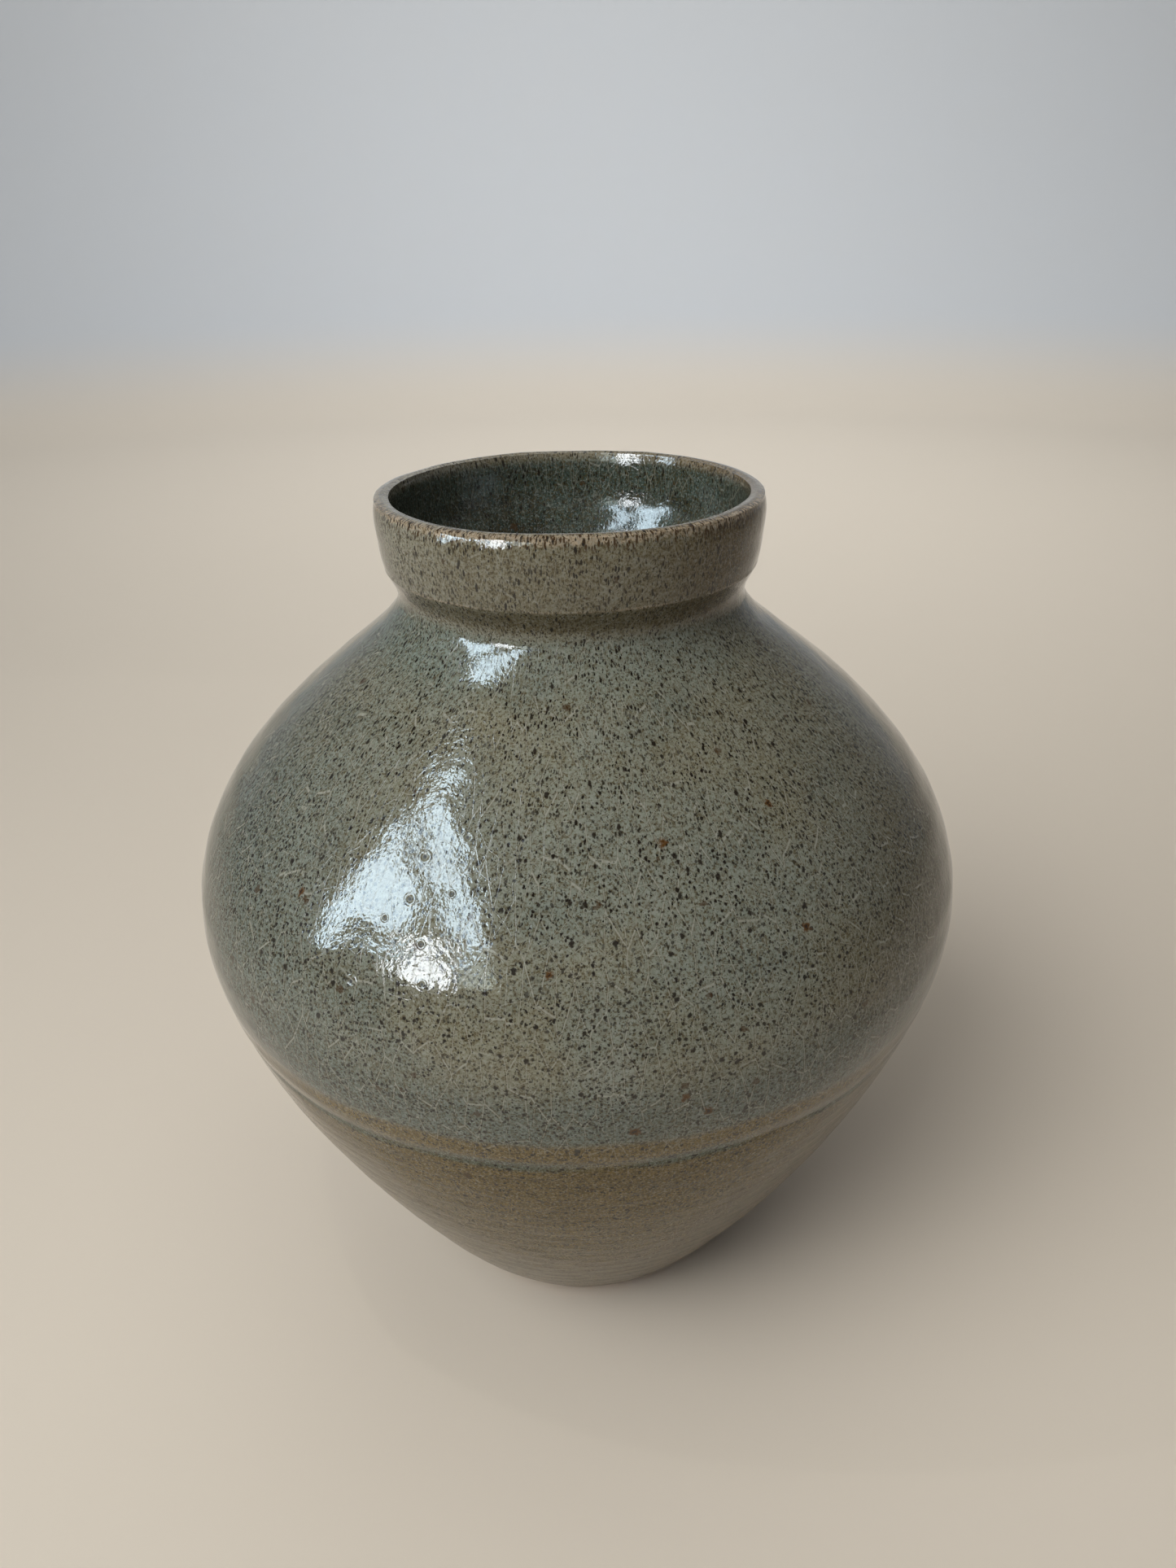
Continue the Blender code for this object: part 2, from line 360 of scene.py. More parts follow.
class Recipe:
    """A material whose node tree is written as short sums. Lengths are millimetres."""

    def __init__(self, name):
        self.material = bpy.data.materials.new(name)
        self.material.use_nodes = True
        self.tree = self.material.node_tree
        self.shader = self.tree.nodes["Principled BSDF"]
        metres = self.tree.nodes.new("ShaderNodeTexCoord").outputs["Object"]
        self.place = self.vector("SCALE", metres, scale=1 / MM)
        axes = self.node("ShaderNodeSeparateXYZ", {0: self.place})
        self.x, _, self.z = axes.outputs
        flat = self.vector("MULTIPLY", self.place, (1, 1, 0))
        self.radius = self.node("ShaderNodeVectorMath", {0: flat}, operation="LENGTH").outputs[1]

    def node(self, kind, inputs, **settings):
        made = self.tree.nodes.new(kind)
        for key, value in settings.items():
            setattr(made, key, value)
        for key, value in inputs.items():
            if isinstance(value, bpy.types.NodeSocket):
                self.tree.links.new(value, made.inputs[key])
            else:
                made.inputs[key].default_value = value
        return made

    def vector(self, operation, a, b=(0, 0, 0), scale=1.0):
        inputs = {0: a, 1: b, 3: scale} if operation == "SCALE" else {0: a, 1: b}
        return self.node("ShaderNodeVectorMath", inputs, operation=operation).outputs[0]

    def math(self, operation, a, b=0.0, c=0.0):
        return self.node("ShaderNodeMath", {0: a, 1: b, 2: c}, operation=operation).outputs[0]

    def smooth(self, value, low, high):
        """0 below low, 1 above high, with an eased change between."""
        inputs = {0: value, 1: low, 2: high}
        made = self.node("ShaderNodeMapRange", inputs, interpolation_type="SMOOTHSTEP")
        return made.outputs[0]

    def inverse(self, value):
        return self.math("SUBTRACT", 1.0, value)

    def falling(self, value, low, high):
        """1 below low, 0 above high, with an eased change between."""
        return self.inverse(self.smooth(value, low, high))

    def noise(self, size, detail=2.0, roughness=0.5, place=None):
        inputs = {"Vector": place or self.place, "Scale": 1 / size}
        inputs |= {"Detail": detail, "Roughness": roughness}
        return self.node("ShaderNodeTexNoise", inputs).outputs["Fac"]

    def cells(self, size, place, feature="F1"):
        inputs = {"Vector": place, "Scale": 1 / size}
        return self.node("ShaderNodeTexVoronoi", inputs, feature=feature)

    def mix(self, amount, a, b):
        """Colour a where the amount is 0, turning into colour b where it's 1."""
        inputs = {0: amount}
        for socket, colour in ((6, a), (7, b)):
            inputs[socket] = (*colour, 1) if isinstance(colour, tuple) else colour
        return self.node("ShaderNodeMix", inputs, data_type="RGBA").outputs[2]

    def over(self, under, colour, where, share):
        """A colour laid over another where a mask is 1, covering a share of it."""
        return self.mix(self.math("MULTIPLY", where, share), under, colour)

    def band(self, value, centre, half, soft):
        """1 within half of centre, easing to 0 over soft."""
        away = self.math("ABSOLUTE", self.math("SUBTRACT", value, centre))
        return self.falling(away, half, half + soft)

    def stretched(self, share):
        """The place with its height scaled, which draws patterns out up and down."""
        return self.vector("MULTIPLY", self.place, (1, 1, share))

    def draped(self, share):
        """Like stretched, but patterns hang straight down the wall wherever it leans."""
        flat = self.vector("MULTIPLY", self.place, (1, 1, 0))
        around = self.vector("NORMALIZE", flat)
        around = self.vector("SCALE", around, scale=DRAPE)
        inward = self.vector("MULTIPLY", self.place, (DRAPE_LEAN, DRAPE_LEAN, share))
        return self.vector("ADD", around, inward)

    def unrolled(self, share, place, round_size):
        """A flat place for lines: round the wall, and up it with the height scaled.

        The back mirrors the front, so that the pattern has no seam.
        """
        axes = self.node("ShaderNodeSeparateXYZ", {0: place}).outputs
        turn = self.math("ARCTAN2", axes[0], self.math("ABSOLUTE", axes[1]))
        round_it = self.math("MULTIPLY", turn, round_size)
        up = self.math("MULTIPLY", axes[2], share)
        return self.node("ShaderNodeCombineXYZ", {0: round_it, 1: up}).outputs[0]

    def ragged(self, place, size, reach):
        """A place pushed about by noise, so that spots lose their round edges."""
        inputs = {"Vector": place, "Scale": 1 / size, "Detail": 2.0}
        colour = self.node("ShaderNodeTexNoise", inputs).outputs["Color"]
        push = self.vector("SUBTRACT", colour, (0.5, 0.5, 0.5))
        return self.vector("ADD", place, self.vector("SCALE", push, scale=reach))

    def specks(self, size, radius, share, place):
        """Scattered spots: one per cell of size, up to radius, in a share of the cells."""
        cells = self.cells(size, place)
        random = self.node("ShaderNodeSeparateColor", {0: cells.outputs["Color"]}).outputs
        away = self.math("MULTIPLY", cells.outputs["Distance"], size)
        edge = self.math("MULTIPLY_ADD", random[0], 0.6 * radius, 0.4 * radius)
        inside = self.smooth(self.math("DIVIDE", away, edge), 0.55, 1.0)
        chosen = self.math("LESS_THAN", random[1], share)
        return self.math("MULTIPLY", self.inverse(inside), chosen)

    def crackle(self, size, half_width, place):
        """The net of fine lines between the cells of size."""
        cells = self.cells(size, place, "DISTANCE_TO_EDGE")
        cells.voronoi_dimensions = "2D"
        away = self.math("MULTIPLY", cells.outputs["Distance"], size)
        line = self.falling(away, 0.3 * half_width, half_width)
        return line, self.falling(away, half_width, 3.5 * half_width)


CELADON = (0.166, 0.176, 0.140)
CELADON_WARM = (0.170, 0.163, 0.114)
CELADON_BLUE = (0.090, 0.112, 0.097)
POOLED = (0.100, 0.140, 0.122)
GROOVE_GLAZE = (0.064, 0.090, 0.074)
# The khaki is partly the thin glaze's own colour and partly painted warm bounce light off wood.
KHAKI_AND_WARM_BOUNCE = (0.132, 0.088, 0.023)
KHAKI_DARK = (0.062, 0.044, 0.017)
COLLAR = (0.152, 0.136, 0.088)
# The collar's painted light for its left side and painted shade for its right side.
COLLAR_LIT_SIDE = (0.250, 0.240, 0.185)
COLLAR_SHADED_SIDE = (0.096, 0.058, 0.020)
LIP_TAN = (0.370, 0.290, 0.200)
# The lining's deep green, darkened with painted shade for the inside of the vase.
LINING_AND_SHADE = (0.008, 0.016, 0.013)
LINING_PALE_AND_SHADE = (0.036, 0.056, 0.046)
MILKY = (0.235, 0.240, 0.212)
CRACK = (0.330, 0.330, 0.280)
SPECK = (0.014, 0.010, 0.006)
SPECK_BROWN = (0.045, 0.023, 0.008)
RUST = (0.080, 0.036, 0.010)
CLAY_BUFF = (0.36, 0.24, 0.14)
CLAY_BROWN = (0.29, 0.185, 0.10)
CLAY_TOASTED = (0.24, 0.13, 0.06)
GROG = (0.50, 0.40, 0.28)

# The largest iron spots, as (angle from the front, height, radius).
IRON_SPOTS = (
    (14, 175, 1.3),
    (32, 156, 1.2),
    (7, 119, 1.5),
    (13, 127, 1.2),
    (16, 122, 1.2),
    (34, 177, 0.9),
    (-3, 155, 1.0),
    (-41, 160, 1.1),
)
# Pinholes where a bubble broke through the glaze, listed in the same way.
PINHOLES = (
    (-22.5, 172, 1.3),
    (-23, 165, 1.2),
    (-16.5, 176, 1.1),
    (-29, 148, 1.2),
    (-20, 158, 0.9),
    (-26, 161, 0.8),
    (-17, 167, 0.8),
    (-19, 151, 0.9),
)


def spot_place(angle, height):
    """The point on the outer face at an angle from the front and a height, in millimetres."""
    points, _ = LINE.at(np.linspace(0, JOINS[2], 800))
    radius = np.interp(height, points[:, 1] / MM, points[:, 0] / MM)
    turn = math.radians(angle)
    return radius * math.sin(turn), -radius * math.cos(turn), height


def nearness(recipe, places, place):
    """How near a place is to the closest spot of a list, as a share of that spot's radius."""
    nearest = 9.0
    for angle, height, radius in places:
        centre = spot_place(angle, height)
        away = recipe.node("ShaderNodeVectorMath", {0: place, 1: centre}, operation="DISTANCE")
        share = recipe.math("DIVIDE", away.outputs[1], radius)
        nearest = recipe.math("MINIMUM", nearest, share)
    return nearest


def celadon(recipe):
    """The thick coat: grey-green and bluer in patches, with a painted bluish sheen on the left and
    painted shade on the right.
    """
    patchy = recipe.smooth(recipe.noise(34, 3), 0.42, 0.62)
    colour = recipe.mix(patchy, CELADON, CELADON_WARM)
    blue = recipe.smooth(recipe.noise(24, 2, place=recipe.stretched(1.8)), 0.48, 0.72)
    colour = recipe.over(colour, CELADON_BLUE, blue, 0.5)
    # Painted sheen: the left side, towards the window, is made bluer.
    painted_sheen_left = recipe.falling(recipe.x, -85.0, -20.0)
    colour = recipe.over(colour, CELADON_BLUE, painted_sheen_left, 0.8)
    # Painted shade: the right side, away from the light, is darkened towards dark khaki.
    painted_shade_right = recipe.smooth(recipe.x, 35.0, 98.0)
    return recipe.over(colour, KHAKI_DARK, painted_shade_right, 0.65)


def lower_wall_colour(recipe, height, colour):
    """A bluer low belly, khaki where the thick coat ends, its warmth partly painted warm bounce light,
    and green pooled in the groove.
    """
    low_belly = recipe.band(height, LOW_BELLY, 3, 12)
    colour = recipe.over(colour, CELADON_BLUE, low_belly, 0.75)
    # Below the thick coat: the glaze's khaki with painted warm bounce light in it.
    edge = recipe.falling(height, DIP_LINE - 2.2, DIP_LINE + 0.6)
    colour = recipe.mix(edge, colour, KHAKI_AND_WARM_BOUNCE)
    groove = recipe.band(height, GROOVE, 0.9, 1.6)
    around = recipe.smooth(recipe.noise(30, 1), 0.30, 0.55)
    groove = recipe.math("MULTIPLY", groove, around)
    colour = recipe.over(colour, GROOVE_GLAZE, groove, 0.8)
    streaks = recipe.smooth(recipe.noise(11, 2, place=recipe.stretched(6.0)), 0.42, 0.62)
    below = recipe.falling(height, GROOVE - 6, GROOVE - 2)
    streaks = recipe.math("MULTIPLY", streaks, below)
    return recipe.over(colour, KHAKI_DARK, streaks, 0.35)


def collar_colour(recipe):
    """Olive at the front, with painted light on the left and painted shade on the right."""
    # Painted shade: the right side, away from the light, is turned darker brown.
    collar_shade_right = recipe.smooth(recipe.x, 12.0, 44.0)
    colour = recipe.over(COLLAR, COLLAR_SHADED_SIDE, collar_shade_right, 0.8)
    # Painted light: the left side, towards the window, is made paler.
    collar_light_left = recipe.falling(recipe.x, -44.0, -18.0)
    return recipe.over(colour, COLLAR_LIT_SIDE, collar_light_left, 0.9)


def outer_colour(recipe, height):
    """The colour by height, with painted light and shade in it: khaki below, celadon above, olive on
    the collar.
    """
    colour = lower_wall_colour(recipe, height, celadon(recipe))
    pooled = recipe.band(height, NECK_POOL, 2, 8)
    # The pooled green is stronger towards the left.
    stronger_left = recipe.falling(recipe.x, -38.0, -8.0)
    pooled = recipe.math("MULTIPLY", pooled, recipe.math("MULTIPLY_ADD", stronger_left, 0.55, 0.15))
    colour = recipe.mix(pooled, colour, POOLED)
    return recipe.mix(recipe.smooth(height, *COLLAR_FOOT), colour, collar_colour(recipe))


def neck_colour(recipe, height, colour):
    """Painted shade under the collar, and pale where the glaze thins over the raised line."""
    # Painted shade: a dark band under the collar's overhang.
    under = recipe.band(height, COLLAR_UNDERSIDE, 1.6, 1.2)
    colour = recipe.over(colour, KHAKI_DARK, under, 0.45)
    line = recipe.band(height, COLLAR_SEAM, 0.15, 0.35)
    broken = recipe.smooth(recipe.noise(14, 2), 0.35, 0.6)
    line = recipe.math("MULTIPLY", line, broken)
    return recipe.over(colour, LIP_TAN, line, 0.5)


def grainy(recipe, colour):
    """The fine lighter and darker grain between the specks."""
    grain = recipe.noise(0.62, 2, 0.75)
    lighter = recipe.smooth(grain, 0.50, 0.66)
    darker = recipe.falling(grain, 0.36, 0.50)
    colour = recipe.over(colour, MILKY, lighter, 0.46)
    colour = recipe.over(colour, KHAKI_DARK, darker, 0.80)
    mottled = recipe.falling(recipe.noise(1.5, 2, 0.6), 0.34, 0.52)
    return recipe.over(colour, KHAKI_DARK, mottled, 0.32)


def speckled(recipe, colour, drawn_out):
    """Iron speckle in four sizes and a few rusty spots. Returns (colour, where the specks are)."""
    drawn = recipe.ragged(recipe.draped(drawn_out), 0.7, 0.9)
    tiny = recipe.specks(0.72, 0.33, 0.85, drawn)
    fine = recipe.specks(1.02, 0.52, 0.9, drawn)
    middle = recipe.specks(2.9, 0.80, 0.8, drawn)
    large = recipe.specks(8.0, 1.3, 0.6, recipe.ragged(recipe.place, 1.1, 2.0))
    crowd = recipe.smooth(recipe.noise(6, 2), 0.32, 0.6)
    crowd = recipe.math("MULTIPLY_ADD", crowd, 0.4, 0.6)
    colour = recipe.over(colour, SPECK, tiny, 0.8)
    colour = recipe.mix(recipe.math("MULTIPLY", fine, crowd), colour, SPECK)
    colour = recipe.over(colour, SPECK, middle, 0.95)
    halo = recipe.smooth(large, 0.0, 0.5)
    colour = recipe.over(colour, SPECK_BROWN, halo, 0.7)
    iron = nearness(recipe, IRON_SPOTS, recipe.ragged(recipe.place, 1.0, 2.4))
    colour = recipe.mix(recipe.falling(iron, 0.5, 1.1), colour, RUST)
    colour = recipe.mix(recipe.falling(iron, 0.1, 0.6), colour, SPECK)
    pits = nearness(recipe, PINHOLES, recipe.place)
    colour = recipe.mix(recipe.falling(pits, 0.2, 0.5), colour, SPECK)
    return colour, recipe.math("MAXIMUM", fine, recipe.math("MAXIMUM", middle, large))


def crazing(recipe, colour, share, round_size):
    """Long hanging cracks with a net between them: each a pale line with a darker edge."""
    wandering = recipe.ragged(recipe.place, 6.0, 0.7)
    leaning = recipe.unrolled(0.75, wandering, round_size)
    leaning = recipe.vector("ADD", leaning, (31.0, 17.0, 0.0))
    hanging = recipe.unrolled(0.27, wandering, round_size)
    hanging, hanging_edge = recipe.crackle(3.1, 0.10, hanging)
    cross, cross_edge = recipe.crackle(4.0, 0.08, leaning)
    some = recipe.smooth(recipe.noise(8, 2), 0.26, 0.52)
    others = recipe.smooth(recipe.noise(8, 2, place=leaning), 0.30, 0.54)
    some = recipe.math("MULTIPLY", some, share)
    others = recipe.math("MULTIPLY", others, recipe.math("MULTIPLY", share, 0.75))
    lines = recipe.math("MULTIPLY", hanging, some)
    lines = recipe.math("MAXIMUM", lines, recipe.math("MULTIPLY", cross, others))
    edges = recipe.math("MULTIPLY", hanging_edge, some)
    edges = recipe.math("MAXIMUM", edges, recipe.math("MULTIPLY", cross_edge, others))
    colour = recipe.over(colour, KHAKI_DARK, edges, 0.34)
    return recipe.over(colour, CRACK, lines, 0.52), lines


def glaze_surface(recipe, cracks, specks, dull, bend=THICK_GLAZE_BEND):
    """Orange peel, hollows, cracks and specks as a fine bump, and the gloss."""
    peel = recipe.noise(0.55, 1.0, 0.5)
    ripples = recipe.noise(1.3, 2, 0.5)
    pits = nearness(recipe, PINHOLES, recipe.place)
    rim = recipe.band(pits, 0.95, 0.05, 0.35)
    bottom = recipe.falling(pits, 0.25, 0.75)
    height = recipe.math("MULTIPLY", ripples, 0.072)
    height = recipe.math("MULTIPLY_ADD", peel, 0.015, height)
    height = recipe.math("MULTIPLY_ADD", cracks, -0.010, height)
    height = recipe.math("MULTIPLY_ADD", specks, -0.006, height)
    height = recipe.math("MULTIPLY_ADD", rim, 0.060, height)
    height = recipe.math("MULTIPLY_ADD", bottom, -0.150, height)
    bumped = recipe.node("ShaderNodeBump", {"Strength": 1.0, "Distance": MM, "Height": height})
    recipe.tree.links.new(bumped.outputs[0], recipe.shader.inputs["Normal"])
    rough = recipe.math("MULTIPLY_ADD", recipe.noise(7, 2), 0.04, dull)
    rough = recipe.math("MULTIPLY_ADD", specks, 0.08, rough)
    rough = recipe.math("MULTIPLY_ADD", bottom, 0.60, rough)
    recipe.tree.links.new(rough, recipe.shader.inputs["Roughness"])
    recipe.shader.inputs["IOR"].default_value = bend


def outer_glaze(name, wraps_lip=False, bend=THICK_GLAZE_BEND):
    """The glaze outside: celadon over khaki, milky in places, grainy, crazed and speckled."""
    recipe = Recipe(name)
    drift = recipe.math("SUBTRACT", recipe.noise(26, 2), 0.5)
    height = recipe.math("MULTIPLY_ADD", drift, 2.4, recipe.z)
    colour = neck_colour(recipe, recipe.z, outer_colour(recipe, height))
    if wraps_lip:
        colour = lip_colour(recipe, colour)
    milk = recipe.smooth(recipe.noise(13, 3, 0.6), 0.58, 0.76)
    colour = recipe.over(colour, MILKY, milk, 0.25)
    colour = grainy(recipe, colour)
    low_edge = recipe.smooth(recipe.z, 104, 124)
    high_edge = recipe.falling(recipe.z, 200, 216)
    glassy = recipe.math("MULTIPLY", low_edge, recipe.math("MULTIPLY_ADD", high_edge, 0.4, 0.5))
    glassy = recipe.math("MULTIPLY_ADD", glassy, 0.85, 0.15)
    colour, cracks = crazing(recipe, colour, glassy, NECK_ROUND if wraps_lip else BELLY_ROUND)
    colour, specks = speckled(recipe, colour, 0.6 if wraps_lip else 0.95)
    if wraps_lip:
        colour = lip_specks(recipe, colour)
    recipe.tree.links.new(colour, recipe.shader.inputs["Base Color"])
    thin = recipe.falling(recipe.z, GROOVE - 30, GROOVE + 8)
    dull = recipe.math("MULTIPLY_ADD", thin, 0.15, 0.015)
    glaze_surface(recipe, cracks, specks, dull, bend)
    return recipe.material


def lip_colour(recipe, colour):
    """Tan where the glaze runs thin over the lip, and deep green, darkened with painted shade, down
    inside.
    """
    edge = recipe.math("MULTIPLY_ADD", recipe.noise(1.8, 2), 2.6, recipe.z)
    thin = recipe.smooth(edge, LIP_TOP - 0.9, LIP_TOP + 0.3)
    inside = recipe.falling(recipe.radius, LIP_RADIUS - 1.9, LIP_RADIUS - 0.9)
    below = recipe.falling(recipe.z, LIP_TOP - 3.6, LIP_TOP - 0.4)
    outer_edge = recipe.smooth(recipe.radius, LIP_RADIUS + 0.2, LIP_RADIUS + 1.3)
    thin = recipe.math("MULTIPLY", thin, recipe.math("MULTIPLY_ADD", outer_edge, 0.6, 0.2))
    colour = recipe.mix(thin, colour, LIP_TAN)
    # Down inside: the lining's colour, darkened with painted shade.
    return recipe.mix(recipe.math("MULTIPLY", inside, below), colour, LINING_PALE_AND_SHADE)


def lip_specks(recipe, colour):
    """The band of dark iron streaks that runs round just under the lip's edge."""
    drawn = recipe.ragged(recipe.draped(0.55), 0.8, 0.8)
    streaks = recipe.specks(1.0, 0.62, 0.95, drawn)
    near = recipe.smooth(recipe.z, LIP_TOP - 4.6, LIP_TOP - 1.8)
    outside = recipe.smooth(recipe.radius, LIP_RADIUS - 0.8, LIP_RADIUS + 1.0)
    streaks = recipe.math("MULTIPLY", streaks, recipe.math("MULTIPLY", near, outside))
    return recipe.over(colour, SPECK_BROWN, streaks, 0.95)


def inner_glaze():
    """The darker, bluer glaze that lines the vase; part of its darkness is painted shade."""
    recipe = Recipe("deep_celadon_lining_and_shade")
    patchy = recipe.smooth(recipe.noise(14, 3), 0.35, 0.65)
    colour = grainy(recipe, recipe.mix(patchy, LINING_AND_SHADE, LINING_PALE_AND_SHADE))
    colour, cracks = crazing(recipe, colour, 0.3, NECK_ROUND)
    colour, specks = speckled(recipe, colour, 0.8)
    recipe.tree.links.new(colour, recipe.shader.inputs["Base Color"])
    glaze_surface(recipe, cracks, specks, 0.08)
    return recipe.material


def bare_clay(name):
    """Fired stoneware without glaze: buff, gritty, with fine grog and a toasted edge."""
    recipe = Recipe(name)
    patchy = recipe.smooth(recipe.noise(12, 3), 0.35, 0.65)
    colour = recipe.mix(patchy, CLAY_BUFF, CLAY_BROWN)
    toasted = recipe.falling(recipe.z, 1.5, 4.0)
    colour = recipe.over(colour, CLAY_TOASTED, toasted, 0.4)
    grog = recipe.specks(1.5, 0.45, 0.6, recipe.ragged(recipe.place, 1.0, 0.7))
    iron = recipe.specks(4.0, 0.7, 0.5, recipe.ragged(recipe.place, 1.0, 0.9))
    colour = recipe.over(colour, GROG, grog, 0.5)
    colour = recipe.over(colour, SPECK_BROWN, iron, 0.8)
    recipe.tree.links.new(colour, recipe.shader.inputs["Base Color"])
    wheel = recipe.math("SINE", recipe.math("MULTIPLY", recipe.radius, 2 * math.pi / 1.7))
    grain = recipe.noise(0.6, 3, 0.6)
    height = recipe.math("MULTIPLY_ADD", grain, 0.06, recipe.math("MULTIPLY", wheel, 0.02))
    height = recipe.math("MULTIPLY_ADD", grog, 0.03, height)
    bumped = recipe.node("ShaderNodeBump", {"Strength": 1.0, "Distance": MM, "Height": height})
    recipe.tree.links.new(bumped.outputs[0], recipe.shader.inputs["Normal"])
    rough = recipe.math("MULTIPLY_ADD", grain, 0.2, 0.68)
    recipe.tree.links.new(rough, recipe.shader.inputs["Roughness"])
    return recipe.material


# ---------------------------------------------------------------- the vase


def no_marks(angle, height):
    """The relief of a face that the potter left plain."""
    return np.zeros_like(angle)


def make_coats():
    """The four coats of glaze, each with its CAD node, ring spacing, material and marks."""
    lower = outer_glaze("thin_khaki_glaze", bend=THIN_GLAZE_BEND)
    shoulder = outer_glaze("celadon_glaze")
    collar = outer_glaze("collar_glaze", wraps_lip=True)
    coats = (
        ("lower_wall_coat", "lower_wall_glaze", 0.00062, lower, throwing_marks),
        ("shoulder_coat", "shoulder_glaze", 0.00085, shoulder, throwing_marks),
        ("collar_coat", "collar_glaze", 0.00036, collar, collar_marks),
        ("inner_coat", "inner_glaze", 0.0016, inner_glaze(), no_marks),
    )
    for (name, node, spacing, material, marks), start, end in zip(coats, JOINS, JOINS[1:]):
        inside = node == "inner_glaze"
        outline = coat_rings(LINE, start, end, spacing, 0.5 if inside else 1.0)
        if inside:
            outline = lining_rings(outline)
        mesh = turned_mesh(name, outline, not inside, marks, lumpy=True)
        add_piece(name, mesh, material, node)


def collar_marks(angle, height):
    """The raised line round the collar's foot, and a lip that isn't quite level."""
    line = COLLAR_LINE * bump(height, COLLAR_SEAM + 0.08 * unsteadiness(angle), 1.1)
    lip = 0.10 * np.sin(3 * angle + 0.4) + 0.07 * np.sin(5 * angle + 2.0)
    edge = LIP_EDGE * bump(height, LIP_TOP - 0.62, 0.5)
    return line + edge + lip * fade(height, LIP_TOP - 4, LIP_TOP)


def lining_rings(outline):
    """Opens the lining's outline at the axis, where its two faces end."""
    points, normals, shares = outline
    turn = int(np.argmin(points[:, 0]))
    order = np.r_[np.arange(turn + 1)[::-1], np.arange(turn + 1, len(points))[::-1]]
    return points[order], normals[order], shares[order]


def make_clay():
    """The clay's own outline, with its corners kept and its curves made smooth."""
    for name, node, slot in (
        ("thrown_body", "clay_body", "stoneware_clay"),
        ("thrown_collar", "clay_collar", "collar_clay"),
    ):
        chain = section(node)
        closed = chain[0, 0] > TOUCHING
        points, normals = smooth_chain(chain, closed)
        mesh = turned_mesh(name, (points, normals, np.zeros(len(points))), closed, no_marks, False)
        add_piece(name, mesh, bare_clay(name + "_clay"), node)


def smooth_chain(chain, closed):
    """Splits a chain at its sharp corners and fills each stretch along a smooth line."""
    ring = np.concatenate([chain, chain[:1]]) if closed else chain
    turns = []
    for i in range(1, len(ring) - 1):
        before, after = ring[i] - ring[i - 1], ring[i + 1] - ring[i]
        across = before[0] * after[1] - before[1] * after[0]
        turns.append(abs(math.atan2(across, before @ after)))
    corners = [0, *(i + 1 for i, turn in enumerate(turns) if turn > SHARP_TURN), len(ring) - 1]
    points, normals = [], []
    for low, high in zip(corners, corners[1:]):
        line = Line(ring[low : high + 1])
        count = max(2, round(line.length / CLAY_STEP) + 1)
        made, facing = line.at(np.linspace(0, line.length, count))
        points.append(made[:-1])
        normals.append(facing[:-1])
    if not closed:
        points.append(ring[-1:])
        normals.append(normals[-1][-1:])
    points = np.concatenate(points)
    points[:, 0] = np.maximum(points[:, 0], 0)
    return points, np.concatenate(normals)


LINE, JOINS = glaze_line()
make_coats()
make_clay()


# ---------------------------------------------------------------- stage, light and camera

TALL = cad_box[1].z
FLOOR_REACH = 1.5
COVE_RADIUS = 0.7
WALL_TOP = 1.9
WINDOW_FACING = (-52, 30)
WINDOW_AWAY = 1.25
WINDOW_AIM = 0.7
SKY_BLUE = (0.70, 0.88, 1.0)
FLOOR_COLOUR = (0.60, 0.53, 0.44)
WALL_COLOUR = (0.50, 0.51, 0.52)

# Soft lights: name, azimuth, elevation, distance, size, watts, colour and spread in degrees.
SOFT_LIGHTS = (
    ("window_softness", -45, 42, 1.3, 1.0, 4.7, (0.99, 1.0, 1.0), 70),
    ("soft_overhead", 0, 82, 1.9, 1.6, 4.2, (1.0, 0.99, 0.96), 120),
    ("soft_behind", 178, 38, 1.6, 1.2, 1.2, (1.0, 0.99, 0.97), 120),
)

# Lights that brighten the wall, as (azimuth, watts), and how they stand over the vase.
WALL_WASHES = ((0, 4.0), (90, 2.0), (180, 17.0), (270, 4.5))
WASH_OUT = 0.7
WASH_HEIGHT = 1.7
WASH_TILT = -46

# The camera's place as shares of the vase's height, and its turns in degrees.
CAMERA_PLACE = (0.0184, -1.2443, 1.2748)
LOOKS_DOWN = 26.64
TURNED_LEFT = 0.20
ROLLED = -1.0
PHONE_LENS = 26

# The window's panes: name, brightness, colour, and corners as (azimuth, elevation) degrees.
WINDOW_PANES = (
    (
        "upper_pane",
        16.0,
        SKY_BLUE,
        ((-80, 57), (-66, 56), (-44, 47), (-28, 27), (-33, 23), (-48, 39), (-63, 46), (-77, 48)),
    ),
    (
        "middle_pane",
        17.0,
        SKY_BLUE,
        ((-75, 45), (-66, 43), (-56, 38), (-51, 33), (-51, 20), (-64, 20), (-73, 3), (-74, 22)),
    ),
    (
        "lower_pane",
        21.0,
        (0.90, 0.96, 1.0),
        ((-49, 20), (-41, 25), (-38, 22), (-36.5, 10), (-39, 7), (-45, 8.5), (-50, 12)),
    ),
    ("far_pane", 5.0, (0.85, 1.0, 0.95), ((-33, 21.5), (-26, 24), (-22, 21), (-25, 14), (-33, 13))),
)


def pale_surface():
    """A warm pale floor that turns into a whiter wall where it curves up."""
    recipe = Recipe("pale_floor")
    colour = recipe.mix(recipe.smooth(recipe.z, 0.0, 120.0), FLOOR_COLOUR, WALL_COLOUR)
    darker = tuple(0.9 * share for share in FLOOR_COLOUR)
    shade = recipe.over(colour, darker, recipe.noise(60, 2), 0.08)
    recipe.tree.links.new(shade, recipe.shader.inputs["Base Color"])
    recipe.shader.inputs["Roughness"].default_value = 0.75
    return recipe.material


